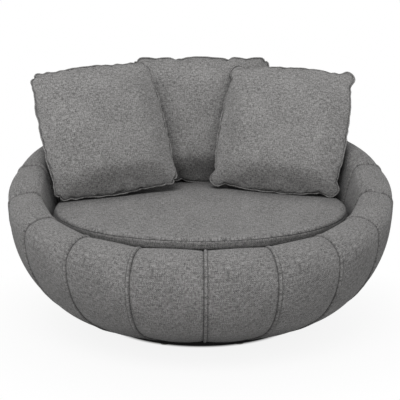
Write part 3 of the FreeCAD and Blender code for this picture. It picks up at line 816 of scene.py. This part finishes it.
def seat_core():
    """The foam block inside, cut round with rolled edges."""
    shape = bmesh.new()
    radii = seat_radii(seat_radius - core_inset - 0.0005)[::3]
    start = [shape.verts.new((radius, 0.0, seat_bottom_height(radius) + core_inset)) for radius in radii]
    start += [shape.verts.new((radius, 0.0, seat_top_height(radius) - core_inset - core_ease))
              for radius in reversed(radii)]
    line = [shape.edges.new(pair) for pair in zip(start, start[1:])]
    bmesh.ops.spin(shape, geom=start + line, cent=(0, 0, 0), axis=(0, 0, 1), angle=math.tau,
                   steps=96, use_merge=True)
    bmesh.ops.remove_doubles(shape, verts=shape.verts, dist=1e-5)
    bmesh.ops.recalc_face_normals(shape, faces=shape.faces)
    return shape


core = link_piece("seat_foam_core", seat_core(), foam_finish, "seat_cushion")
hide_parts("seat_cushion_foam")

zip_black = (0.012, 0.012, 0.013, 1.0)
zip_sheen = (0.060, 0.060, 0.062, 1.0)


def zip_coil():
    """Black zip tape with its coil showing as close ribs across it."""
    finish, shader = start_finish("zip_coil", 0.5)
    place = add_node(finish, "TexCoord").outputs["Object"]
    ribs = add_node(finish, "TexWave", {"bands_direction": "X"}, {"Vector": place, "Scale": 210.0})
    colour = two_tones(finish, ribs.outputs["Fac"], zip_black, zip_sheen, 0.2, 0.8)
    finish.node_tree.links.new(colour, shader.inputs["Base Color"])
    roughen(finish, shader, ribs.outputs["Fac"], 0.0005)
    return finish


zip_finish = zip_coil()
dress(zip_finish, "seat_cushion_zip")

# Scatter cushions: two square panels of the same chenille, its colour painted lighter for the light that
# falls on them, sewn face to face round a corded edge, with a zip in the lower seam. Stuffing swells
# them, which draws the edges in, puckers them and leaves ears.
cushion_height = 0.488
cushion_half_thickness = 0.066
cushion_steps = 64
cushion_corner = 0.032
cut_allowance = 1.07
cut_bow = 0.034
loose_half_thickness = 0.020
swell_power = 2.2
stuffing_pressure = 4.0
stuffing_frames = 26
seam_gather = 0.035
cord_radius = 0.0030
cord_stand = 0.0018
cord_sides = 8
foot_spread = 0.007
dent_depth = 0.004
edge_wave = 0.0012
flat_border = 0.105
border_fullness = 0.42
pad_inset = 0.0020
pad_share = 0.965
# The scatter cushions' chenille tones are the tub chenille's drawn lighter: painted light for the
# brighter light that falls on the leaning cushions.
brightened_cushion_dark = (0.104, 0.102, 0.100, 1.0)
brightened_cushion_light = (0.425, 0.418, 0.412, 1.0)
fill_light = (0.82, 0.82, 0.80, 1.0)
fill_dark = (0.70, 0.70, 0.68, 1.0)
scatter_cushions = {
    "left": {"width": 0.470, "centre": (-0.354, 0.214, 0.659), "yaw": 21.5, "tilt": 25.5, "roll": 4.5},
    "right": {"width": 0.488, "centre": (0.315, 0.272, 0.650), "yaw": -19.5, "tilt": 26.0, "roll": -2.0},
    "middle": {"width": 0.532, "centre": (0.010, 0.468, 0.663), "yaw": -1.0, "tilt": 15.0, "roll": 0.0},
}


def lean(cushion):
    """Turns a cushion made upright about its own centre to the place where it leans."""
    turn = Matrix.Rotation(math.radians(cushion["yaw"]), 4, "Z")
    turn @= Matrix.Rotation(math.radians(-cushion["tilt"]), 4, "X")
    turn @= Matrix.Rotation(math.radians(-cushion["roll"]), 4, "Y")
    return Matrix.Translation(cushion["centre"]) @ turn


def round_square(across, up, corner_share):
    """Moves a point of a square from -1 to 1 so that the square's corners are rounded."""
    reach = max(abs(across), abs(up))
    low = min(abs(across), abs(up))
    start = 1.0 - corner_share
    if reach < 1e-9 or low <= start * reach:
        return across, up
    angle = (low / reach - start) / corner_share * math.pi / 4.0
    long_side = reach * (start + corner_share * math.cos(angle))
    short_side = reach * (start + corner_share * math.sin(angle))
    if abs(across) >= abs(up):
        return math.copysign(long_side, across), math.copysign(short_side, up)
    return math.copysign(short_side, across), math.copysign(long_side, up)


def sewn_panels(width, height, half_thickness, bow):
    """Front and back panel laid face to face and joined round their edge, their sides cut a little
    bowed."""
    shape = bmesh.new()
    bmesh.ops.create_grid(shape, x_segments=cushion_steps, y_segments=cushion_steps, size=1.0)
    weave = shape.loops.layers.uv.new("weave")
    for vert in shape.verts:
        across, up = vert.co.x, vert.co.y
        full = (1.0 - abs(across) ** swell_power) ** 0.75 * (1.0 - abs(up) ** swell_power) ** 0.75
        across, up = round_square(across, up, 2.0 * cushion_corner / width)
        vert.co = (across * (width / 2.0 + bow * (1.0 - up ** 2)), -half_thickness * full,
                   up * (height / 2.0 + bow * (1.0 - across ** 2)))
    for face in shape.faces:
        for loop in face.loops:
            loop[weave].uv = (loop.vert.co.x, loop.vert.co.z)
    made = bmesh.ops.extrude_face_region(shape, geom=list(shape.faces))
    for item in made["geom"]:
        if isinstance(item, bmesh.types.BMVert):
            item.co.y = -item.co.y
    bmesh.ops.remove_doubles(shape, verts=shape.verts, dist=1e-5)
    bmesh.ops.recalc_face_normals(shape, faces=shape.faces)
    return shape


def seam_order(verts):
    """Numbers of the points on the seam, in turn round the flat cushion."""
    on_seam = [vert for vert in verts if abs(vert.co.y) < 1e-6]
    return [vert.index for vert in sorted(on_seam, key=lambda vert: math.atan2(vert.co.z, vert.co.x))]


def stuff(shape, name):
    """Blows up the sewn panels from inside with cloth simulation, the seam drawn in a little as it is
    sewn."""
    mesh = bpy.data.meshes.new(name)
    shape.to_mesh(mesh)
    shape.free()
    sewn = bpy.data.objects.new(name, mesh)
    bpy.context.scene.collection.objects.link(sewn)
    seam = sewn.vertex_groups.new(name="seam")
    seam.add(seam_order(mesh.vertices), 1.0, "ADD")
    cloth = sewn.modifiers.new("stuffing", "CLOTH")
    cloth.point_cache.frame_start = 1
    cloth.point_cache.frame_end = stuffing_frames
    cloth.collision_settings.use_collision = False
    settings = cloth.settings
    settings.quality = 6
    settings.mass = 0.15
    settings.air_damping = 6.0
    settings.tension_stiffness = 30.0
    settings.compression_stiffness = 15.0
    settings.shear_stiffness = 10.0
    settings.bending_stiffness = 0.3
    settings.tension_damping = 10.0
    settings.compression_damping = 10.0
    settings.shear_damping = 10.0
    settings.bending_damping = 1.0
    settings.use_pressure = True
    settings.uniform_pressure_force = stuffing_pressure
    settings.effector_weights.gravity = 0.0
    settings.vertex_group_shrink = "seam"
    settings.shrink_max = seam_gather
    for step in range(1, stuffing_frames + 1):
        bpy.context.scene.frame_set(step)
    swollen = sewn.evaluated_get(bpy.context.evaluated_depsgraph_get())
    stuffed = bmesh.new()
    stuffed.from_mesh(swollen.data)
    bpy.data.objects.remove(sewn)
    bpy.data.meshes.remove(mesh)
    bpy.context.scene.frame_set(1)
    return stuffed


def settle(shape, width, turn):
    """Brings a stuffed cushion to its size, and gives it the dents and the spread foot of one that
    leans."""
    corners = [vert.co for vert in shape.verts
               if abs(vert.co.x) > 0.4 * width and abs(vert.co.z) > 0.4 * cushion_height]
    left, right = min(place.x for place in corners), max(place.x for place in corners)
    low, high = min(place.z for place in corners), max(place.z for place in corners)
    depth = max(vert.co.y for vert in shape.verts) - min(vert.co.y for vert in shape.verts)
    for vert in shape.verts:
        place = Vector(((vert.co.x - (left + right) / 2.0) * width / (right - left),
                        vert.co.y * 2.0 * cushion_half_thickness / depth,
                        (vert.co.z - (low + high) / 2.0) * cushion_height / (high - low)))
        border = min(width / 2.0 - abs(place.x), cushion_height / 2.0 - abs(place.z))
        inward = min(max(border / flat_border, 0.0), 1.0)
        place.y *= border_fullness + (1.0 - border_fullness) * inward * inward * (3.0 - 2.0 * inward)
        down = max(-place.z / (cushion_height / 2.0), 0.0)
        place.x += math.copysign(foot_spread * down ** 3 * abs(2.0 * place.x / width) ** 3, place.x)
        dent = noise.noise(Vector((place.x * 6.0, place.z * 6.0, turn))) * dent_depth
        ripple = noise.noise(Vector((place.x * 22.0, place.z * 22.0, turn))) * dent_depth * 0.35
        place.y += (dent + ripple) * min(abs(place.y) / 0.03, 1.0)
        place.z += noise.noise(Vector((place.x * 30.0, 3.0, turn))) * edge_wave
        place.x += noise.noise(Vector((place.z * 30.0, 9.0, turn))) * edge_wave
        vert.co = place


def cord_round(points):
    """The covered cord in the seam: a tube round the loop of seam points, just outside them."""
    count = len(points)
    shape = bmesh.new()
    bmesh.ops.create_grid(shape, x_segments=count, y_segments=cord_sides, size=1.0)
    weave = shape.loops.layers.uv.new("weave")
    smooth = [(points[index - 1] + points[index] * 2.0 + points[(index + 1) % count]) / 4.0
              for index in range(count)]
    travelled = [0.0]
    for index in range(count):
        travelled.append(travelled[-1] + (smooth[(index + 1) % count] - smooth[index]).length)
    flat = {}
    for vert in shape.verts:
        step = round((vert.co.x + 1.0) / 2.0 * count)
        side = round((vert.co.y + 1.0) / 2.0 * cord_sides)
        index = step % count
        along = (smooth[(index + 1) % count] - smooth[index - 1]).normalized()
        outward = along.cross(Vector((0.0, 1.0, 0.0))).normalized()
        if outward.dot(Vector((smooth[index].x, 0.0, smooth[index].z))) < 0.0:
            outward.negate()
        across = along.cross(outward)
        turn = math.tau * side / cord_sides
        centre = smooth[index] + outward * cord_stand
        vert.co = centre + (outward * math.cos(turn) + across * math.sin(turn)) * cord_radius
        flat[vert] = (travelled[step], turn * cord_radius)
    for face in shape.faces:
        for loop in face.loops:
            loop[weave].uv = flat[loop.vert]
    bmesh.ops.remove_doubles(shape, verts=shape.verts, dist=1e-6)
    bmesh.ops.recalc_face_normals(shape, faces=shape.faces)
    return shape


def soft_filling():
    """Bonded polyester wadding, white and matt."""
    finish, shader = start_finish("polyester_filling", 0.95)
    place = add_node(finish, "TexCoord").outputs["Object"]
    tufts = stretched_noise(finish, (1.0, 1.0, 1.0), 60.0, 6.0, place)
    colour = two_tones(finish, tufts, fill_dark, fill_light)
    finish.node_tree.links.new(colour, shader.inputs["Base Color"])
    roughen(finish, shader, tufts, 0.0015)
    return finish


filling_finish = soft_filling()
# Painted light: the scatter cushions get a lighter copy of the tub's chenille.
brightened_cushion_finish = chenille("cushion_chenille_painted_lighter", brightened_cushion_dark, brightened_cushion_light)
for turn, (side, cushion) in enumerate(scatter_cushions.items()):
    body = side + "_cushion"
    width = cushion["width"]
    cut = sewn_panels(width * cut_allowance, cushion_height * cut_allowance,
                      loose_half_thickness, cut_bow)
    cut.verts.index_update()
    seam = seam_order(cut.verts)
    shell = stuff(cut, body + "_sewn")
    settle(shell, width, float(turn))
    shell.verts.ensure_lookup_table()
    shell.normal_update()
    cord_shape = cord_round([shell.verts[index].co.copy() for index in seam])
    pad_shape = shell.copy()
    for vert in pad_shape.verts:
        vert.co = vert.co * pad_share - vert.normal * pad_inset
    for shape in (shell, cord_shape, pad_shape):
        shape.transform(lean(cushion))
    cover = link_piece(body + "_cover", shell, brightened_cushion_finish, body)
    cord = link_piece(body + "_edge_cord", cord_shape, brightened_cushion_finish, body)
    pad = link_piece(body + "_pad", pad_shape, filling_finish, body)
    finer = cover.modifiers.new("finer", "SUBSURF")
    finer.levels = 1
    finer.render_levels = 1
    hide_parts(body + "_front", body + "_back")
    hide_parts(body + "_piping")
    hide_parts(body + "_filling")
    dress(zip_finish, body + "_zip")

# Photographer's set: a plain pale floor, one wide soft lamp high on the camera's side, an even white
# surround, and the camera at the photograph's height and distance.
camera_distance = 4.0
camera_height = 1.2494
camera_pitch = math.radians(11.52)
camera_turn = math.radians(-1.0)
camera_lens = 102.6
camera_sensor = 36.0
camera_shift = -0.00125
floor_colour = (0.62, 0.62, 0.62, 1.0)
shade_edge = 0.332
shadow_near = 0.352
shadow_far = 0.98
shadow_whiteness = 0.88
surround_level = 0.34
lamp_power = 460.0
lamp_size = (5.0, 4.0)
lamp_place = (-1.1, -4.7, 6.8)
lamp_aim = Vector((0.0, 0.0, 0.4))
floor_reach = 30.0

camera_data = bpy.data.cameras.new("camera")
camera_data.lens = camera_lens
camera_data.sensor_width = camera_sensor
camera_data.shift_x = camera_shift
camera = bpy.data.objects.new("camera", camera_data)
camera.location = Matrix.Rotation(camera_turn, 3, "Z") @ Vector((0.0, -camera_distance, camera_height))
camera.rotation_euler = (math.pi / 2.0 - camera_pitch, 0.0, camera_turn)
bpy.context.scene.collection.objects.link(camera)
bpy.context.scene.camera = camera

lamp_data = bpy.data.lights.new("soft_lamp", "AREA")
lamp_data.shape = "RECTANGLE"
lamp_data.size, lamp_data.size_y = lamp_size
lamp_data.energy = lamp_power
lamp = bpy.data.objects.new("soft_lamp", lamp_data)
lamp.location = lamp_place
lamp.rotation_euler = (lamp_aim - lamp.location).to_track_quat("-Z", "Y").to_euler()
bpy.context.scene.collection.objects.link(lamp)


def white_to_the_eye(finish):
    """1 for rays that show the background, whether straight, in a gloss or through glass."""
    path = add_node(finish, "LightPath")
    seen = path.outputs["Is Camera Ray"]
    for name in ("Is Glossy Ray", "Is Transmission Ray"):
        both = add_node(finish, "Math", {"operation": "MAXIMUM"})
        finish.node_tree.links.new(seen, both.inputs[0])
        finish.node_tree.links.new(path.outputs[name], both.inputs[1])
        seen = both.outputs["Value"]
    return seen


def pale_floor():
    """A pale floor, white to the eye away from the chair and with the chair's soft shadow under it."""
    finish, shader = start_finish("pale_floor", 0.9)
    links = finish.node_tree.links
    shader.inputs["Base Color"].default_value = floor_colour
    shader.inputs["Specular IOR Level"].default_value = 0.0
    glow = add_node(finish, "Emission", inputs={"Color": (1.0, 1.0, 1.0, 1.0), "Strength": 1.0})
    place = add_node(finish, "TexCoord").outputs["Object"]
    away = add_node(finish, "VectorMath", {"operation": "LENGTH"}, {"Vector": place})
    whiteness = add_node(finish, "ValToRGB", inputs={"Fac": away.outputs["Value"]})
    stops = whiteness.color_ramp.elements
    stops[0].position, stops[0].color = shade_edge, (0.0, 0.0, 0.0, 1.0)
    stops[1].position, stops[1].color = shadow_far, (1.0, 1.0, 1.0, 1.0)
    stops.new(shadow_near).color = (shadow_whiteness, shadow_whiteness, shadow_whiteness, 1.0)
    share = add_node(finish, "Math", {"operation": "MULTIPLY"})
    links.new(white_to_the_eye(finish), share.inputs[0])
    links.new(whiteness.outputs["Color"], share.inputs[1])
    mix = add_node(finish, "MixShader")
    links.new(share.outputs["Value"], mix.inputs["Fac"])
    links.new(shader.outputs["BSDF"], mix.inputs[1])
    links.new(glow.outputs["Emission"], mix.inputs[2])
    links.new(mix.outputs["Shader"], finish.node_tree.nodes["Material Output"].inputs["Surface"])
    return finish


floor_shape = bmesh.new()
bmesh.ops.create_circle(floor_shape, cap_ends=True, radius=floor_reach, segments=64)
floor_mesh = bpy.data.meshes.new("floor")
floor_shape.to_mesh(floor_mesh)
floor_shape.free()
floor_mesh.materials.append(pale_floor())
floor = bpy.data.objects.new("floor", floor_mesh)
bpy.context.scene.collection.objects.link(floor)

world = bpy.data.worlds.new("studio")
world.use_nodes = True
bpy.context.scene.world = world
surround = world.node_tree.nodes["Background"]
surround.inputs["Color"].default_value = (1.0, 1.0, 1.0, 1.0)
level = add_node(world, "MapRange", inputs={"Value": white_to_the_eye(world), "To Min": surround_level,
                                            "To Max": 1.0})
world.node_tree.links.new(level.outputs["Result"], surround.inputs["Strength"])

bpy.context.scene.view_settings.view_transform = "Standard"
